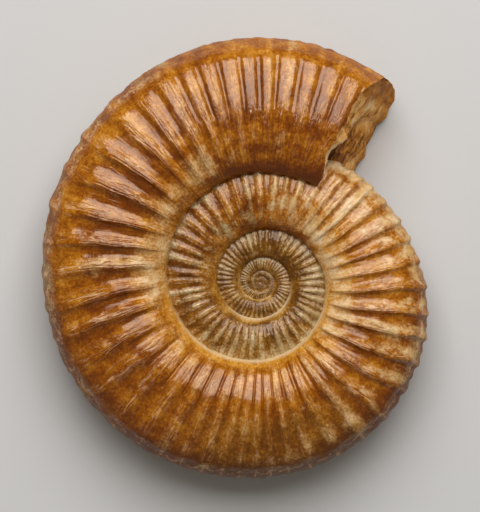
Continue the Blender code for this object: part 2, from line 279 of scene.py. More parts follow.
def ribRise(whorl, share):
    shape, threads, x = ribShape(whorl, share)
    outward = outerPart(share)
    tall = curveAt(ribs["innerTall"], whorl) * (1.0 - outward) + curveAt(ribs["outerTall"], whorl) * outward
    foot = lineAt(ribs["foot"], whorl)
    begin = foot * (0.12 + 0.28 * smooth(1.0, 1.1, whorl))
    fade = lineAt(ribs["fadeFrom"], whorl)
    ends = smooth(begin, foot, share) * (1.0 - ribs["venterFade"] * smooth(fade, fade + 0.32, share))
    free = smooth(0.12, 0.25, share) * (1.0 - smooth(0.6, 0.8, share)) * lineAt(ribs["threadShown"], whorl)
    threads = threads * free
    detail = surface["threadHeight"] * threads
    detail = detail + surface["shoulderKnobs"] * np.cos(2.0 * math.tau * x) * smooth(0.93, 0.965, share)
    rise = (shape + detail - 0.5) * tall * ends * ribs["relief"] * whorlHeight(whorl)
    return rise, shape, threads * ends, x


def ribArc(whorl):
    # mm along the middle of the flank, from the mouth
    radius = coil["seamRadius"] + 0.5 * (coil["venterRadius"][0][1] - coil["seamRadius"])
    return math.tau * radius * (1.0 - coil["growth"] ** -whorl) / math.log(coil["growth"])


def ribLean(whorl, share):
    lean = np.where(whorl < 1.0, curveAt(ribs["lean"], whorl), ribs["innerLean"])
    reach = breakFace["reach"]
    free = smooth(0.0, reach, np.abs(whorl)) * smooth(0.0, reach, np.abs(whorl - 1.0))
    return lean * free * np.clip(share / ribs["leanShare"], 0.0, 1.0)


def breakAhead(radius, height):
    # degrees by which the break lies further forward here than at its top
    run = breakFace["run"] * smooth(-0.75, 1.0, -height / coil["mostHalfThickness"])
    return np.degrees(run / radius)


def rimBack(share, side):
    # how far the rims of the mouth are broken back, mm
    ragged = 0.1 * np.sin(9.0 * share + 0.6) + 0.1 * np.sin(31.0 * share) + 0.07 * np.sin(74.0 * share + 2.0)
    upper = breakFace["bevel"] * smooth(0.05, 0.3, share) * (1.0 - smooth(0.75, 0.97, share)) * (1.0 + ragged)
    lower = breakFace["ragged"] * (0.6 + np.sin(13.0 * share) + 0.6 * np.sin(37.0 * share + 2.0))
    return np.where(side > 0, upper, lower * smooth(0.1, 0.3, share) * (1.0 - smooth(0.9, 1.0, share)))


def rimTurn(whorl, share, side):
    # the same, in degrees, fading out away from the mouth
    radius = np.maximum(seamRadius(whorl) + share * whorlHeight(whorl), 1.0)
    return np.degrees(rimBack(share, side) / radius) * (1.0 - smooth(0.0, 0.03, np.abs(whorl)))


def breakShift(whorl, share, side):
    radius = np.maximum(seamRadius(whorl) + share * whorlHeight(whorl), 1.0)
    atMouth = 1.0 - smooth(0.0, breakFace["reach"], np.abs(whorl))
    underMouth = (1.0 - smooth(0.0, breakFace["reach"], np.abs(whorl - 1.0))) * smooth(0.0, 0.5, share)
    return breakAhead(radius, side * flankHeight(whorl, share)) * (atMouth + underMouth)


def layered(points, size, depth, seed):
    # soft lumps, 'size' mm across, from Blender's own noise, about -1 to 1
    shift = Vector((seed * 7.3, seed * 3.1, seed * 5.7))
    flat = points.reshape(-1, 3) / size
    lumps = [noise.fractal(Vector(p) + shift, 0.8, 2.1, depth) for p in flat.tolist()]
    return np.array(lumps).reshape(points.shape[:-1])


def roughness(place, share, points):
    # small rise and fall that no rib explains, in mm
    scale = np.clip(whorlHeight(place) / 25.0, 0.05, 1.0)
    rise = surface["lumps"][1] * layered(points, surface["lumps"][0], 2, 1) * scale
    rise = rise + surface["dents"][1] * layered(points, surface["dents"][0], 1, 5) * scale
    rise = rise + surface["ripples"][1] * layered(points, surface["ripples"][0], 2, 2) * np.sqrt(scale)
    last = place < 1.0
    knobs = layered(points, surface["knobs"][0], 1, 4) * smooth(0.9, 0.96, share)
    rise = rise + surface["knobs"][1] * knobs * last
    bead = np.exp(-((share - 0.014) / 0.012) ** 2)
    return rise + surface["seamBead"] * bead * scale


def sectionPoint(whorl, share, side):
    # radius, height and true whorl of a point of the ribbed flank, with its rib marks
    back = rimTurn(whorl, share, side) / 360.0
    place = whorl - (ribLean(whorl, share) + breakShift(whorl, share, side)) / 360.0 + back
    step, edge = 0.004, 0.9999      # for the slope of the flank, which stands upright at the venter
    height = flankHeight(place, share)
    tall = whorlHeight(place)
    ahead = np.minimum(share + step, edge)
    climb = flankHeight(place, ahead) - flankHeight(place, share - step)
    run = (ahead - (share - step)) * tall
    length = np.hypot(climb, run)
    outR = np.where(share >= edge, 1.0, -climb / length)
    outZ = np.where(share >= edge, 0.0, run / length)
    rise, shape, threads, x = ribRise(whorl + back, share)
    radius = seamRadius(place) + share * tall
    radius = np.where((share < 0.0) & (place > coil["whorls"] - 1.0), 0.0, radius)
    rise = rise + roughness(place, share, coilPoints(radius, side * height, place))
    height = height + (coil["domeHeight"] - height) * (1.0 - smooth(*coil["domeEdge"], radius))
    radius = np.maximum(radius + outR * rise, 0.0)
    return radius, side * (height + outZ * rise), place, shape, threads, x


def coilPoints(radius, height, place):
    bearing = np.radians(coil["mouthBearing"] + 360.0 * place)
    return np.stack((radius * np.cos(bearing), radius * np.sin(bearing), height), axis=-1)


def columnShares(innerSteps, outerSteps):
    # evenly bent round the section: steeper parts get closer columns
    inner = coil["crestShare"] * (1.0 - np.cos(np.linspace(0.0, 0.5, innerSteps + 1)[:-1] * math.pi))
    outer = np.sin(np.linspace(0.0, 0.5, outerSteps + 1) * math.pi)
    outer = coil["crestShare"] + (1.0 - coil["crestShare"]) * outer
    return np.concatenate(([-0.04], inner, outer))


def rowPlaces():
    # rows crowd where a rib is sharp: at its crest, or at the groove between flat bands
    rows = []
    for start, end in zip(crestLines, crestLines[1:]):
        steps = ribs["rowsPerRib"][int(start + 1e-6)]
        t = np.arange(steps) / steps
        sharp, flat = ribs["crowding"]
        barred = ribs["barWhorls"][0] <= start < ribs["barWhorls"][1]
        crowd = flat if start < ribs["flatUntil"] else 0.0 if barred or start >= 1.0 else sharp
        rows.extend(start + (end - start) * (t - crowd * np.sin(math.tau * t) / math.tau))
    return np.array(rows + [coil["whorls"]])


def everyOther(first, last):
    # every second column, and the last one in any case
    return list(range(first, last, 2)) + [last]


def buildShell():
    rows = rowPlaces()
    upper = columnShares(*coil["columns"])
    lower = upper[::-1][2::2]
    if lower[-1] != upper[0]:
        lower = np.append(lower, upper[0])
    shares = np.concatenate((upper, lower))
    sides = np.concatenate((np.ones(len(upper)), -np.ones(len(lower))))
    whorl, share = np.meshgrid(rows, shares, indexing="ij")
    side = np.broadcast_to(sides, whorl.shape)
    radius, height, place, shape, threads, x = sectionPoint(whorl, share, side)
    points = coilPoints(radius, height, place)
    print("shell grid:", whorl.shape)

    # faces: all columns on the open last whorl, every other one further in
    full = int(np.searchsorted(rows, 1.0 - 1e-9))
    width = len(shares)
    every = everyOther(0, len(upper) - 1) + everyOther(len(upper) + 1, width - 1)
    faces = []
    for i in range(full):
        a, b = i * width, (i + 1) * width
        for j in range(width - 1):
            faces.append((a + j, b + j, b + j + 1, a + j + 1))
    cover = coverShare(rows - 1.0)
    for i in range(full, len(rows) - 1):
        a, b = i * width, (i + 1) * width
        for j, k in zip(every, every[1:]):
            if rows[i] > 1.0 + coil["tuck"] and min(shares[j], shares[k]) > cover[i] + coil["tuck"]:
                continue
            if i == full:
                faces.append((a + j, b + j, b + k, *range(a + k, a + j, -1)))
            else:
                faces.append((a + j, b + j, b + k, a + k))
    marks = stoneMarks(whorl, place, share, shape, threads, x)
    return points.reshape(-1, 3), faces, {name: values.ravel() for name, values in marks.items()}


# The tone and paleness of the stone by whorl, on the inner, middle and outer flank, and what the rest adds
stoneZones = {
    "toneInner": [(0.0, 0.34), (0.12, 0.36), (0.18, 0.6), (0.3, 0.68), (0.42, 0.66), (0.55, 0.53),
                  (0.66, 0.6), (0.75, 0.76), (0.85, 1.0), (0.92, 1.0), (0.96, 0.76), (1.0, 0.66),
                  (1.1, 0.5), (1.25, 0.52), (1.4, 0.38), (1.55, 0.3), (1.7, 0.33), (2.0, 0.42), (2.4, 0.42),
                  (2.6, 0.3), (3.0, 0.36)],
    "toneMiddle": [(0.0, 0.38), (0.12, 0.42), (0.2, 0.41), (0.3, 0.36), (0.42, 0.42), (0.55, 0.52),
                   (0.75, 0.45), (0.85, 0.59), (0.92, 0.66), (1.0, 0.66), (1.1, 0.4), (1.4, 0.4),
                   (1.6, 0.46), (2.0, 0.4), (3.0, 0.36)],
    "toneOuter": [(0.0, 0.53), (0.15, 0.54), (0.3, 0.57), (0.42, 0.44), (0.55, 0.34), (0.66, 0.38),
                  (0.75, 0.46), (0.85, 0.6), (0.92, 0.63), (1.0, 0.62), (2.0, 0.44)],
    # darker towards the venter, most on the lower side turned from the lamp: the venter's own darker stone and
    # painted shade
    "venterToneAndShade": [(0.0, 0.0), (0.3, -0.05), (0.42, -0.22), (0.7, -0.32), (0.8, -0.28), (0.87, -0.1),
                   (1.0, 0.0)],
    # how much lighter a rib is than the troughs; on the last whorl this is painted light on the rib's side
    # facing the lamp and painted shade in the trough behind it
    "ribToneAndLight": [(0.0, 0.3), (0.15, 0.3), (0.25, 0.24), (0.4, 0.2), (0.55, 0.13), (0.7, 0.2), (0.85, 0.08),
                (1.0, 0.14), (1.2, 0.24), (3.0, 0.3)],
    # how much lighter the stone is at the seam; where it is darker, that is painted shade where the next whorl
    # overhangs the seam
    "seamToneAndShade": [(0.0, -0.4), (0.12, -0.36), (0.18, -0.26), (0.26, 0.0), (0.82, 0.0), (0.9, -0.2),
                 (0.95, -0.45), (1.1, -0.25), (1.25, 0.2), (1.5, 0.3), (1.7, 0.2), (1.9, -0.1), (2.1, -0.3),
                 (2.3, 0.4), (2.6, 0.45), (3.0, 0.1)],
    "paleInner": [(0.0, 0.0), (0.1, 0.12), (0.14, 0.4), (0.18, 0.62), (0.35, 0.58), (0.42, 0.42),
                  (0.5, 0.2), (0.65, 0.3), (0.75, 0.44), (0.82, 0.58), (0.92, 0.74), (0.96, 0.5),
                  (1.0, 0.6), (1.08, 0.25), (1.2, 0.3), (1.4, 0.02), (1.6, 0.02), (2.2, 0.2), (2.3, 0.3),
                  (2.6, 0.04), (3.0, 0.15)],
    "paleMiddle": [(0.0, 0.0), (0.15, 0.1), (0.27, 0.08), (0.31, 0.42), (0.35, 0.05), (0.42, 0.05),
                   (0.6, 0.1), (0.7, 0.12), (0.8, 0.26), (0.92, 0.36), (1.0, 0.54), (1.06, 0.4), (1.2, 0.2),
                   (1.35, 0.25), (1.5, 0.5), (1.75, 0.5), (2.0, 0.4), (3.0, 0.45)],
    "paleOuter": [(0.0, 0.05), (0.3, 0.08), (0.5, 0.2), (0.58, 0.32), (0.66, 0.35), (0.8, 0.4), (0.9, 0.54),
                  (1.0, 0.75), (1.06, 0.5), (1.4, 0.4), (1.65, 0.75), (2.0, 0.5), (3.0, 0.6)],
    "paleVenter": [(0.0, 0.0), (0.12, 0.1), (0.2, 0.35), (0.4, 0.35), (0.5, 0.05), (0.66, -0.1),
                   (0.75, 0.1), (0.9, 0.3)],
    # how well the hair lines show
    "hairs": [(0.0, 0.35), (0.12, 0.5), (0.18, 1.0), (0.42, 1.0), (0.5, 0.6), (0.64, 0.6), (0.7, 1.0),
              (1.0, 0.7), (1.06, 0.0)],
    # honey-coloured foot of the flank, strongest where the umbilical wall faces the lamp: the stone's honey
    # colour and painted light
    "wall": [(0.1, 0.0), (0.3, 0.3), (0.42, 0.7), (0.5, 1.0), (0.72, 0.9), (0.85, 0.4), (0.95, 0.1),
             (1.0, 0.0), (1.4, 0.25), (1.6, 0.4), (1.8, 0.2), (2.0, 0.0)],
    # the bright line along the seam, on the stretches where the seam faces the lamp: painted light
    "litSeamLine": [(0.35, 0.0), (0.45, 0.8), (0.75, 0.9), (0.82, 0.0), (1.4, 0.0), (1.5, 0.8), (1.75, 0.8),
                 (1.85, 0.0)],
    # how much paler a rib is than the troughs; on the last whorl partly painted light on the rib's side facing
    # the lamp
    "ribPaleAndLight": [(0.0, 0.05), (0.2, 0.15), (0.5, 0.2), (0.7, 0.36), (0.9, 0.24), (1.0, 0.22), (1.2, 0.36),
                (3.0, 0.4)],
}


def stoneMarks(whorl, place, share, shape, threads, x):
    # what the stone's materials read at each point
    def zone(name):
        return lineAt(stoneZones[name], place)

    def zoned(name):
        value = zone(name + "Inner")
        value = value + (zone(name + "Middle") - value) * smooth(0.14, 0.36, share)
        return value + (zone(name + "Outer") - value) * smooth(0.55, 0.8, share)

    skew = curveAt(ribs["skew"], whorl)
    # on the last whorl, the rib's wide side, which faces the lamp, against the trough behind it: painted light
    # there and painted shade in the trough
    litSide = np.exp(-np.abs((x + 0.5 * skew) / 0.27) ** 2.6)
    # small knobs: a row in mid flank, and along the ribs outside it; their pale dots are painted glints
    knotted = smooth(0.36, 0.44, place) * (1.0 - smooth(0.62, 0.7, place))
    row = np.exp(-((share - 0.47) / 0.03) ** 2)
    row = row + 0.6 * np.exp(-(x / 0.06) ** 2) * smooth(0.47, 0.55, share)
    byMouth = np.exp(-((share - 0.44) / 0.04) ** 2) * (1.0 - smooth(0.14, 0.22, place))
    ribPaleAndLit = np.where(whorl < 1.0, litSide, np.clip(shape, 0.0, 1.0))
    foot = lineAt(ribs["foot"], whorl)
    fade = lineAt(ribs["fadeFrom"], whorl)
    seen = smooth(0.4 * foot, foot, share) * (1.0 - 0.7 * smooth(fade, fade + 0.25, share))
    plain = (1.0 - smooth(0.36, 0.56, share)) * (1.0 - smooth(0.1, 0.18, whorl))
    ribPaleAndLit = 0.5 + (ribPaleAndLit - 0.5) * seen * (1.0 - plain)
    # hair lines gather on the rib's side that faces the lamp, where its highlight falls; their pale strokes are
    # painted glints
    near = np.exp(-((x + 0.25 * skew) / 0.22) ** 2)
    near = near * smooth(0.1, 0.2, share) * (1.0 - smooth(0.8, 0.9, share))
    own = ribShade[acrossRib(whorl, share)[0]] * (1.0 - 4.0 * x ** 2)[..., None]
    ownTone, ownPale = own[..., 0], own[..., 1]     # each rib has its own shade
    # atSeam also carries the painted shade in the seam under the next whorl's overhang
    atSeam = 1.0 - smooth(0.03, 0.12, share)
    return {
        "stoneTone": zoned("tone") + zone("ribToneAndLight") * (ribPaleAndLit - 0.5) + 0.05 * ownTone
                     + zone("seamToneAndShade") * atSeam + zone("venterToneAndShade") * smooth(0.76, 0.92, share),
        "stonePale": zoned("pale") + zone("ribPaleAndLight") * (ribPaleAndLit - 0.5) + 0.2 * ownPale
                     + zone("paleVenter") * smooth(0.86, 0.95, share)
                     # less pale where the seam is in painted shade
                     + np.minimum(zone("seamToneAndShade"), 0.0) * atSeam,
        "crestThreads": threads * (whorl < 1.0),
        "hairLines": zone("hairs") * np.where(whorl < 1.0, near, 1.0),
        "fromCrest": np.abs(x),
        "ribArc": ribArc(whorl),
        "glintKnots": row * knotted + 0.7 * byMouth,
        "flankShare": share,
        "whorlsBack": place,
        "umbilicalWallAndLight": zone("wall") * (1.0 - smooth(0.045, 0.08, share)),
        "litSeamLine": zone("litSeamLine") * (1.0 - smooth(0.01, 0.026, share)),
    }


def buildBreak():
    # the broken end: a sheet from the upper rim of the section to the lower one
    shares = np.concatenate(([-0.03], np.sin(np.linspace(0.0, 0.5, breakFace["across"]) * math.pi) ** 1.3))
    down = 0.5 - 0.5 * np.cos(np.linspace(0.0, 1.0, breakFace["down"]) * math.pi)
    whorl = np.zeros_like(shares)
    topR, topZ = sectionPoint(whorl, shares, 1.0)[:2]
    lowR, lowZ = sectionPoint(whorl, shares, -1.0)[:2]
    radius = topR[:, None] + (lowR - topR)[:, None] * down
    height = topZ[:, None] + (lowZ - topZ)[:, None] * down
    across = np.broadcast_to(shares[:, None], radius.shape)
    flat = np.stack((radius, height, np.zeros_like(radius)), axis=-1)
    lumps = layered(flat, breakFace["lumps"][0], 4, 3)
    fibres = layered(flat * (0.18, 1.0, 1.0), breakFace["fibres"][0], 3, 9)
    start, atDown = breakFace["ledgeStart"]
    ledge = atDown + breakFace["ledgeFall"] * np.maximum(across - start, 0.0) + 0.05 * lumps
    under = np.broadcast_to(down, radius.shape) - ledge
    rim = smooth(0.0, 0.5, topZ[:, None] - height) * smooth(0.0, 1.6, height - lowZ[:, None])
    hollow = smooth(0.0, 0.05, under) * (1.0 - smooth(0.2, 0.55, under)) * (1.0 - smooth(0.5, 0.8, across))
    # painted shade in the hollow under the ledge
    hollowShade = smooth(0.0, 0.05, under) * (1.0 - smooth(0.3, 0.75, under)) * (1.0 - smooth(0.42, 0.72, across))
    hollowShade = breakFace["hollowShade"] * hollowShade
    bevel = rimBack(across, 1.0) * (1.0 - smooth(0.0, 1.0, down / np.maximum(ledge, 0.14)))
    bevel = bevel + rimBack(across, -1.0) * smooth(0.6, 1.0, down)
    eaten = breakFace["hollow"] * hollow + breakFace["lumps"][1] * (lumps + 0.5)
    eaten = bevel + rim * (eaten + breakFace["fibres"][1] * fibres)
    bearing = coil["mouthBearing"] - breakAhead(radius, height) + np.degrees(eaten / radius)
    turn = np.radians(bearing)
    points = np.stack((radius * np.cos(turn), radius * np.sin(turn), height), axis=-1)
    rows, width = radius.shape
    faces = [(i * width + j, (i + 1) * width + j, (i + 1) * width + j + 1, i * width + j + 1)
             for i in range(rows - 1) for j in range(width - 1)]
    skin = 1.0 - smooth(*breakFace["skinDepth"], np.minimum(height - lowZ[:, None], (1.0 - across) * 16.0))
    lip = np.exp(-((under + 0.015) / 0.02) ** 2)
    plain, byFibres, byLumps = breakFace["tone"]
    tone = plain - hollowShade + byFibres * fibres + byLumps * lumps
    marks = {"stoneTone": tone.ravel(), "stonePale": skin.ravel(), "crestThreads": lip.ravel()}
    return points.reshape(-1, 3), faces, marks


def layDown(points):
    lean = np.array(Matrix.Rotation(math.radians(coil["restLean"]), 3, "X"))
    points = points @ lean.T + np.array(coil["axisAt"])
    points[:, 2] = np.maximum(points[:, 2], 0.0)
    return points * mm


def ammonitePiece():
    shell, shellFaces, shellMarks = buildShell()
    broken, brokenFaces, brokenMarks = buildBreak()
    first = len(shell)
    faces = shellFaces + [tuple(v + first for v in face) for face in brokenFaces]
    mesh = bpy.data.meshes.new("ammoniteFossil")
    mesh.from_pydata(layDown(np.concatenate((shell, broken))).tolist(), [], faces)
    for name in shellMarks:
        values = np.concatenate((shellMarks[name], brokenMarks.get(name, np.zeros(len(broken)))))
        values = values.astype(np.float32)
        mesh.attributes.new(name, "FLOAT", "POINT").data.foreach_set("value", values)
    slots = np.zeros(len(faces), dtype=np.int32)
    slots[len(shellFaces):] = 1
    mesh.polygons.foreach_set("material_index", slots)
    mesh.shade_smooth()
    piece = bpy.data.objects.new("ammoniteFossil", mesh)
    bpy.context.scene.collection.objects.link(piece)
    print("ammonite mesh:", len(mesh.vertices), "points,", sum(len(f) - 2 for f in faces), "triangles")
    return piece


piece = ammonitePiece()


# Small helpers for building materials out of nodes
def addNode(tree, kind, inputs=None, **settings):
    made = tree.nodes.new("ShaderNode" + kind)
    for name, value in settings.items():
        setattr(made, name, value)
    for socket, value in (inputs or {}).items():
        if isinstance(value, bpy.types.NodeSocket):
            tree.links.new(value, made.inputs[socket])
        else:
            made.inputs[socket].default_value = value
    return made


def mark(tree, name):
    return addNode(tree, "Attribute", attribute_name=name).outputs["Fac"]


def calc(tree, operation, a, b=0.0, c=0.0):
    return addNode(tree, "Math", {0: a, 1: b, 2: c}, operation=operation).outputs[0]


def product(tree, *parts):
    made = parts[0]
    for part in parts[1:]:
        made = calc(tree, "MULTIPLY", made, part)
    return made


def weighted(tree, base, *parts):
    # the base, plus each part times its weight
    for part, weight in parts:
        base = calc(tree, "MULTIPLY_ADD", part, weight, base)
    return base


def between(tree, low, high, value):
    # 0 at low, 1 at high, smooth between
    return addNode(tree, "MapRange", {"Value": value, "From Min": low, "From Max": high},
                   interpolation_type="SMOOTHSTEP").outputs["Result"]


def stripe(tree, value, at, core, edge):
    # 1 within core of a value, 0 beyond edge
    return between(tree, edge, core, calc(tree, "ABSOLUTE", calc(tree, "SUBTRACT", value, at)))


def speckle(tree, vector, scale, detail=3.0, roughness=0.55, distortion=0.0):
    # noise about 0, mostly between -0.25 and 0.25
    made = addNode(tree, "TexNoise", {"Vector": vector, "Scale": scale, "Detail": detail,
                                      "Roughness": roughness, "Distortion": distortion})
    return calc(tree, "SUBTRACT", made.outputs["Fac"], 0.5)


def cells(tree, vector, size):
    # distance from the middle of the nearest cell
    return addNode(tree, "TexVoronoi", {"Vector": vector, "Scale": perMetre / size}).outputs["Distance"]


def ramp(tree, factor, stops):
    made = addNode(tree, "ValToRGB", {"Fac": factor})
    while len(made.color_ramp.elements) < len(stops):
        made.color_ramp.elements.new(1.0)
    for element, (place, colour) in zip(made.color_ramp.elements, stops):
        element.position = place
        element.color = (*colour, 1.0)
    return made.outputs["Color"]


def mixed(tree, factor, first, second):
    first, second = (c if isinstance(c, bpy.types.NodeSocket) else (*c, 1.0) for c in (first, second))
    return addNode(tree, "Mix", {0: factor, 6: first, 7: second}, data_type="RGBA").outputs[2]


def newMaterial(name):
    material = bpy.data.materials.new(name)
    material.use_nodes = True
    return material, material.node_tree, material.node_tree.nodes["Principled BSDF"]


calcite = {
    "amber": [(0.0, (0.13, 0.026, 0.0)), (0.25, (0.2, 0.045, 0.0)), (0.45, (0.31, 0.088, 0.0)),
              (0.62, (0.44, 0.155, 0.004)), (0.8, (0.57, 0.25, 0.03)), (1.0, (0.68, 0.4, 0.13))],
    "core": [(0.0, (0.1, 0.032, 0.001)), (0.25, (0.17, 0.062, 0.002)), (0.45, (0.27, 0.115, 0.008)),
             (0.8, (0.46, 0.26, 0.07)), (1.0, (0.6, 0.42, 0.2))],      # the first whorls
    "cream": [(0.0, (0.42, 0.2, 0.04)), (0.5, (0.62, 0.385, 0.145)), (1.0, (0.78, 0.6, 0.37))],
    "oldCream": [(0.0, (0.22, 0.12, 0.035)), (0.5, (0.42, 0.29, 0.125)), (1.0, (0.62, 0.5, 0.3))],
    "wall": [(0.0, (0.42, 0.16, 0.006)), (0.5, (0.62, 0.28, 0.02)), (1.0, (0.74, 0.42, 0.1))],
    "litSeamLine": (0.86, 0.69, 0.43),
    # pale pink of the fine lines: on the crest threads, hair lines and knobs painted glints, on the shoulder
    # net the stone's own pale thread
    "paleLineAndGlint": (0.78, 0.52, 0.33),
    "oldThread": (0.68, 0.52, 0.33),
    # dark of the lines beside the hair lines and rib edges, and painted shade in the grooves between the crest
    # threads
    "darkLineAndShade": (0.13, 0.03, 0.0),
    # sizes in mm
    "mottleSize": 3.4,
    "patchSize": 5.0,
    "cloudSize": 11.0,
    "fineSize": 0.6,
    "knobSize": 1.6,
    "beadSize": 0.55,           # the granular early whorls
    "hairApart": 1.0,           # fine lines along the ribs
    # how the lines and streaks along the ribs are drawn
    "hairLength": 3.5,          # how often a line breaks off across the flank
    "hairWidth": 0.045,         # a step of the noise that draws them
    "darkHairAt": 0.08,         # the same, from a light line to the dark one beside it
    "streaks": (1.65, 4.2),     # how many in 1 mm round the coil, and how many across the flank
    # how far each noise moves the tone of all the stone
    "beadTone": 0.2,
    "cloudTone": 0.45,
    # and of the amber alone
    "mottleTone": 1.15,
    "streakTone": 0.35,
    "fineTone": 0.85,
    "moreByMouth": (0.6, 0.5),  # added to the mottle and the streaks by the mouth
    "moreEarly": 0.7,           # added to the mottle on the first whorls
    # how far each moves the tone of the cream, and the border between amber and cream
    "creamBy": (0.9, 1.8),      # fine, mottle
    "borderBy": (0.6, 0.3, 0.5),    # streak, beads, fine
    "blotchy": (1.2, 1.1),      # patches on the whole shell, and more of them further in
    "border": (0.24, 0.92),
    # how strongly each kind of line shows, and in which colour
    "lines": {"lightThread": (0.5, "paleLineAndGlint"), "darkThread": (0.6, "darkLineAndShade"),
              "lightHair": (0.6, "paleLineAndGlint"), "darkHair": (0.65, "darkLineAndShade"),
              "paleEdge": (0.5, "oldThread"), "darkEdge": (0.35, "darkLineAndShade"),
              "net": (0.4, "paleLineAndGlint"), "knobs": (0.35, "paleLineAndGlint")},
    "wallShown": 0.9,
    # how high each stands
    "raised": {"beads": 0.6, "streak": 1.1, "hairs": 0.7, "edges": 0.4, "knobs": 1.3, "net": 0.6},
    "bumpHeight": 0.0003,       # m
    "bumpStrength": 0.3,
    "roughness": 0.05,
    "dullerBy": (0.5, 0.1, 0.1),    # the outer edge, bleached stone, mottle
    "refraction": 1.62,
    "sheen": (1.0, 0.84, 0.68),
    "glow": 0.25,               # how much light goes into the stone
    "glowReach": (1.0, 0.4, 0.1),
    "glowDepth": 0.0006,        # m
}


def calciteNoises(tree):
    # every noise and mark that the calcite is mixed from
    where = addNode(tree, "TexCoord").outputs["Object"]
    stone = {name: mark(tree, name) for name in ("stoneTone", "stonePale", "crestThreads", "flankShare",
                                                 "whorlsBack", "ribArc", "fromCrest", "glintKnots", "hairLines")}
    stone["mottle"] = speckle(tree, where, perMetre / calcite["mottleSize"], 5.0, 0.62)
    stone["patch"] = speckle(tree, where, perMetre / calcite["patchSize"], 4.0, 0.55, 0.8)
    stone["cloud"] = speckle(tree, where, perMetre / calcite["cloudSize"], 2.0, 0.5)
    stone["fine"] = speckle(tree, where, perMetre / calcite["fineSize"], 3.0, 0.6)
    stone["grain"] = calc(tree, "ADD", stone["mottle"], stone["fine"])
    perArc, acrossFlank = calcite["streaks"]
    drawn = addNode(tree, "CombineXYZ", {0: stone["ribArc"],
                                         1: calc(tree, "MULTIPLY", stone["flankShare"], acrossFlank)})
    stone["streak"] = speckle(tree, drawn.outputs[0], perArc, 3.0, 0.6)
    drawn = addNode(tree, "CombineXYZ", {0: calc(tree, "DIVIDE", stone["ribArc"], calcite["hairApart"]),
                                         1: calc(tree, "MULTIPLY", stone["flankShare"], calcite["hairLength"])})
    stone["hair"] = speckle(tree, drawn.outputs[0], 1.0, 2.0, 0.5)
    stone["early"] = between(tree, 1.0, 1.15, stone["whorlsBack"])
    middles = calc(tree, "SUBTRACT", 0.45, cells(tree, where, calcite["beadSize"]))
    stone["beads"] = calc(tree, "MULTIPLY", middles, stone["early"])
    stone["rim"] = between(tree, 0.88, 0.95, stone["flankShare"])
    stone["cells"] = cells(tree, where, calcite["knobSize"])
    return stone


def calciteBody(tree, stone):
    # amber stone, bleached to cream in places, without its lines
    share, back = stone["flankShare"], stone["whorlsBack"]
    tone = weighted(tree, stone["stoneTone"], (stone["beads"], calcite["beadTone"]),
                    (stone["cloud"], calcite["cloudTone"]))
    byMouth = product(tree, between(tree, 0.15, 0.1, back), between(tree, 0.5, 0.4, share))
    mottleMore, streakMore = calcite["moreByMouth"]
    mottled = weighted(tree, calcite["mottleTone"], (byMouth, mottleMore),
                       (stone["early"], calcite["moreEarly"]))
    streaky = weighted(tree, calcite["streakTone"], (byMouth, streakMore))
    depth = weighted(tree, tone, (stone["mottle"], mottled), (stone["streak"], streaky),
                     (stone["fine"], calcite["fineTone"]))
    # browner on the first whorls, and a little on the outer flank opposite the mouth
    brown = product(tree, between(tree, 0.48, 0.56, back), between(tree, 0.72, 0.64, back),
                    between(tree, 0.42, 0.6, share), 0.55)
    brown = calc(tree, "MAXIMUM", brown, between(tree, 0.95, 1.6, back))
    amber = mixed(tree, brown, ramp(tree, depth, calcite["amber"]), ramp(tree, depth, calcite["core"]))
    byFine, byMottle = calcite["creamBy"]
    light = weighted(tree, tone, (stone["fine"], byFine), (stone["mottle"], byMottle))
    aged = calc(tree, "MAXIMUM", stone["early"], product(tree, stone["rim"], between(tree, 0.85, 0.7, back)))
    cream = mixed(tree, aged, ramp(tree, light, calcite["cream"]), ramp(tree, light, calcite["oldCream"]))
    everywhere, beyond = calcite["blotchy"]
    blotchy = weighted(tree, everywhere, (between(tree, 0.62, 0.85, back), beyond))
    byStreak, byBeads, byFine = calcite["borderBy"]
    bleached = weighted(tree, stone["stonePale"], (stone["patch"], blotchy), (stone["streak"], byStreak),
                        (stone["beads"], byBeads), (stone["fine"], byFine))
    stone["bleached"] = between(tree, *calcite["border"], bleached)
    return mixed(tree, stone["bleached"], amber, cream)


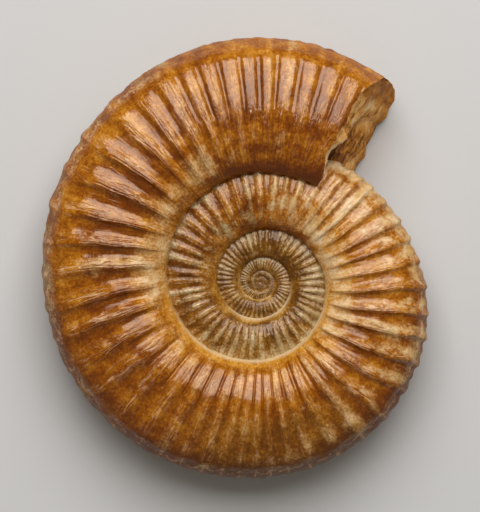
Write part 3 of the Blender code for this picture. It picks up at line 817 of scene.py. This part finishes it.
def calciteLines(tree, stone):
    # light and dark lines, as masks
    share, back = stone["flankShare"], stone["whorlsBack"]
    grain, fromCrest = stone["grain"], stone["fromCrest"]
    # light and dark lines, as masks; the light ones on the crest threads, hair lines and knobs are painted
    # glints, and the dark ones between the crest threads painted shade
    here = between(tree, -0.2, 0.1, grain)
    lines = {"lightThread": product(tree, between(tree, 0.2, 1.0, stone["crestThreads"]), here),
             "darkThread": product(tree, between(tree, -0.15, -0.8, stone["crestThreads"]), here)}

    # hair lines, light beside dark, where a drawn-out noise crosses two levels
    shown = product(tree, stone["hairLines"], between(tree, -0.12, 0.06, stone["mottle"]))
    for name, level in (("lightHair", 0.0), ("darkHair", calcite["darkHairAt"])):
        lines[name] = product(tree, stripe(tree, stone["hair"], level, 0.0, calcite["hairWidth"]), shown)

    # on the early whorls each rib has a pale thread along both edges, and a dark one outside it
    broken = product(tree, stone["early"], between(tree, 0.08, 0.16, share),
                     between(tree, -0.06, 0.14, grain))
    ribEdge = weighted(tree, fromCrest, (calc(tree, "ADD", stone["streak"], stone["fine"]), 0.25))
    for name, place in (("paleEdge", 0.18), ("darkEdge", 0.3)):
        lines[name] = product(tree, stripe(tree, ribEdge, place, 0.02, 0.075), broken)

    # a net of threads round the shoulder: loops between the ribs, and one out along each rib
    arch = calc(tree, "SINE", calc(tree, "MULTIPLY", fromCrest, math.pi))
    loop = stripe(tree, weighted(tree, share, (stone["patch"], 0.07), (arch, -0.035)), 0.92, 0.004, 0.012)
    spoke = product(tree, between(tree, 0.09, 0.03, fromCrest), between(tree, 0.9, 0.94, share))
    netted = product(tree, between(tree, 0.1, 0.2, back), between(tree, 0.9, 0.75, back))
    lines["net"] = product(tree, calc(tree, "MAXIMUM", loop, spoke), netted,
                           between(tree, -0.12, 0.12, grain))

    scattered = between(tree, -0.06, 0.1, calc(tree, "ADD", stone["mottle"], stone["streak"]))
    # pale dots on the knobs: painted glints, also raised a little by the bump
    lines["knobs"] = product(tree, between(tree, 0.45, 0.15, stone["cells"]), stone["glintKnots"], scattered)
    return lines


def honeyCalcite():
    material, tree, shader = newMaterial("honeyCalcite")
    stone = calciteNoises(tree)
    colour = calciteBody(tree, stone)
    # the umbilical wall's honey colour, partly painted light on the side facing the lamp
    honey = ramp(tree, weighted(tree, 0.45, (stone["grain"], 2.2)), calcite["wall"])
    colour = mixed(tree, product(tree, mark(tree, "umbilicalWallAndLight"), calcite["wallShown"]), colour, honey)
    # painted light along the seam where it faces the lamp
    colour = mixed(tree, mark(tree, "litSeamLine"), colour, calcite["litSeamLine"])
    lines = calciteLines(tree, stone)
    for name, (strength, paint) in calcite["lines"].items():
        colour = mixed(tree, product(tree, lines[name], strength), colour, calcite[paint])
    tree.links.new(colour, shader.inputs["Base Color"])

    dull = zip((stone["rim"], stone["bleached"], stone["mottle"]), calcite["dullerBy"])
    tree.links.new(weighted(tree, calcite["roughness"], *dull), shader.inputs["Roughness"])
    shader.inputs["IOR"].default_value = calcite["refraction"]
    shader.inputs["Specular Tint"].default_value = (*calcite["sheen"], 1.0)
    shader.inputs["Subsurface Weight"].default_value = calcite["glow"]
    shader.inputs["Subsurface Radius"].default_value = calcite["glowReach"]
    shader.inputs["Subsurface Scale"].default_value = calcite["glowDepth"]

    # rougher where threads run
    threaded = calc(tree, "ABSOLUTE", stone["crestThreads"])
    rough = product(tree, stone["fine"], weighted(tree, 0.2, (threaded, 4.0)))
    stands = {"beads": stone["beads"], "streak": stone["streak"],
              "hairs": calc(tree, "SUBTRACT", lines["lightHair"], lines["darkHair"]),
              "edges": calc(tree, "SUBTRACT", lines["paleEdge"], lines["darkEdge"]),
              "knobs": lines["knobs"], "net": lines["net"]}
    ripple = weighted(tree, rough, *((part, calcite["raised"][name]) for name, part in stands.items()))
    bump = addNode(tree, "Bump", {"Strength": calcite["bumpStrength"], "Distance": calcite["bumpHeight"],
                                  "Height": ripple})
    tree.links.new(bump.outputs["Normal"], shader.inputs["Normal"])
    return material


brokenStuff = {
    "matrix": [(0.0, (0.08, 0.02, 0.001)), (0.3, (0.3, 0.1, 0.01)), (0.55, (0.66, 0.29, 0.05)),
               (0.8, (0.92, 0.49, 0.15)), (1.0, (0.95, 0.64, 0.28))],
    "skin": [(0.0, (0.22, 0.055, 0.001)), (0.5, (0.56, 0.2, 0.008)), (1.0, (0.8, 0.4, 0.06))],
    "lip": (0.86, 0.68, 0.44),
    "lipShown": 0.6,
    "grainSize": 0.8,           # mm
    "fibreLength": 5.0,         # times as long as wide
    "fibreTurn": -4.0,          # degrees from straight out of the coil's middle
    "lumpSize": 3.3,
    "toneBy": (1.5, 0.6),       # fibres, lumps
    "roughness": 0.7,
    "skinPolish": 0.3,          # the skin is this much smoother
    "gloss": 0.3,
    "bumpHeight": 0.0005,       # m
    "bumpStrength": 0.8,
}


def brokenStone():
    material, tree, shader = newMaterial("brokenStone")
    where = addNode(tree, "TexCoord").outputs["Object"]
    tone, skin, lip = mark(tree, "stoneTone"), mark(tree, "stonePale"), mark(tree, "crestThreads")
    # fibres run along the rim, out from the coil's middle
    bearing = math.radians(coil["mouthBearing"] + brokenStuff["fibreTurn"])
    drawn = addNode(tree, "Mapping", {"Vector": where, "Rotation": (0.0, 0.0, bearing),
                                      "Scale": (brokenStuff["fibreLength"], 1.0, 1.0)}, vector_type="TEXTURE")
    fine = speckle(tree, drawn.outputs[0], perMetre / brokenStuff["grainSize"], 4.0, 0.65)
    coarse = speckle(tree, where, perMetre / brokenStuff["lumpSize"], 3.0, 0.6)
    byFibres, byLumps = brokenStuff["toneBy"]
    colour = ramp(tree, weighted(tree, tone, (fine, byFibres), (coarse, byLumps)), brokenStuff["matrix"])
    colour = mixed(tree, product(tree, lip, brokenStuff["lipShown"]), colour, brokenStuff["lip"])
    rind = ramp(tree, weighted(tree, 0.5, (coarse, 1.6)), brokenStuff["skin"])
    colour = mixed(tree, between(tree, 0.3, 0.6, weighted(tree, skin, (coarse, 1.4))), colour, rind)
    tree.links.new(colour, shader.inputs["Base Color"])
    dull = weighted(tree, brokenStuff["roughness"], (skin, -brokenStuff["skinPolish"]))
    tree.links.new(dull, shader.inputs["Roughness"])
    shader.inputs["Specular IOR Level"].default_value = brokenStuff["gloss"]
    shader.inputs["Specular Tint"].default_value = (*calcite["sheen"], 1.0)
    bump = addNode(tree, "Bump", {"Strength": brokenStuff["bumpStrength"],
                                  "Distance": brokenStuff["bumpHeight"], "Height": fine})
    tree.links.new(bump.outputs["Normal"], shader.inputs["Normal"])
    return material


piece.data.materials.append(honeyCalcite())
piece.data.materials.append(brokenStone())
print("stone materials made")
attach(piece, "root")
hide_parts("ammonite")

studio = {
    "floorColour": (0.62, 0.62, 0.62),
    "floorSize": 3.0,
    "keyPower": 7.4,
    "keyColour": (1.0, 0.985, 0.975),
    "keySize": (0.72, 0.68),
    "keyDistance": 0.8,
    "keyElevation": 55.0,
    "keyBearing": 87.0,
    "zenith": 0.19,             # light from straight above
    "horizon": 0.225,           # light from the walls all round
    "wallColour": (1.0, 0.93, 0.8),
}


def buildStudio():
    bpy.ops.mesh.primitive_plane_add(size=studio["floorSize"])
    floor = bpy.context.object
    floor.name = "floor"
    material, _, shader = newMaterial("paleFloor")
    shader.inputs["Base Color"].default_value = (*studio["floorColour"], 1.0)
    shader.inputs["Roughness"].default_value = 0.9
    floor.data.materials.append(material)
    key = bpy.data.lights.new("softBox", "AREA")
    key.shape = "RECTANGLE"
    key.size, key.size_y = studio["keySize"]
    key.energy = studio["keyPower"]
    key.color = studio["keyColour"]
    lamp = bpy.data.objects.new("softBox", key)
    turn, rise = math.radians(studio["keyBearing"]), math.radians(studio["keyElevation"])
    aim = Vector((math.cos(turn) * math.cos(rise), math.sin(turn) * math.cos(rise), math.sin(rise)))
    lamp.location = aim * studio["keyDistance"]
    lamp.rotation_euler = aim.to_track_quat("Z", "Y").to_euler()
    bpy.context.scene.collection.objects.link(lamp)
    world = bpy.data.worlds.new("softRoom")
    world.use_nodes = True
    sky = world.node_tree
    up = addNode(sky, "SeparateXYZ", {0: addNode(sky, "TexCoord").outputs["Generated"]}).outputs["Z"]
    low, high = ([level * part for part in studio["wallColour"]]
                 for level in (studio["horizon"], studio["zenith"]))
    fade = ramp(sky, up, [(0.0, low), (0.5, low), (0.85, high), (1.0, high)])
    sky.links.new(fade, sky.nodes["Background"].inputs["Color"])
    bpy.context.scene.world = world
    bpy.context.scene.view_settings.view_transform = "Standard"
    print("studio set")


buildStudio()

camera = {
    "height": 0.75,             # m over the fossil's middle plane
    "frameHeight": 0.1178,      # m seen at that plane, top to bottom
    "over": (0.00115, 0.00046),     # m from the middle of the frame
    "planeAt": 0.013,           # m, the middle plane
    "sensor": 36.0,             # mm
}
view = bpy.data.cameras.new("camera")
view.sensor_fit = "AUTO"
view.sensor_width = camera["sensor"]
view.lens = camera["height"] / camera["frameHeight"] * camera["sensor"]
cameraObject = bpy.data.objects.new("camera", view)
cameraObject.location = (*camera["over"], camera["planeAt"] + camera["height"])
bpy.context.scene.collection.objects.link(cameraObject)
bpy.context.scene.camera = cameraObject
print("camera placed")
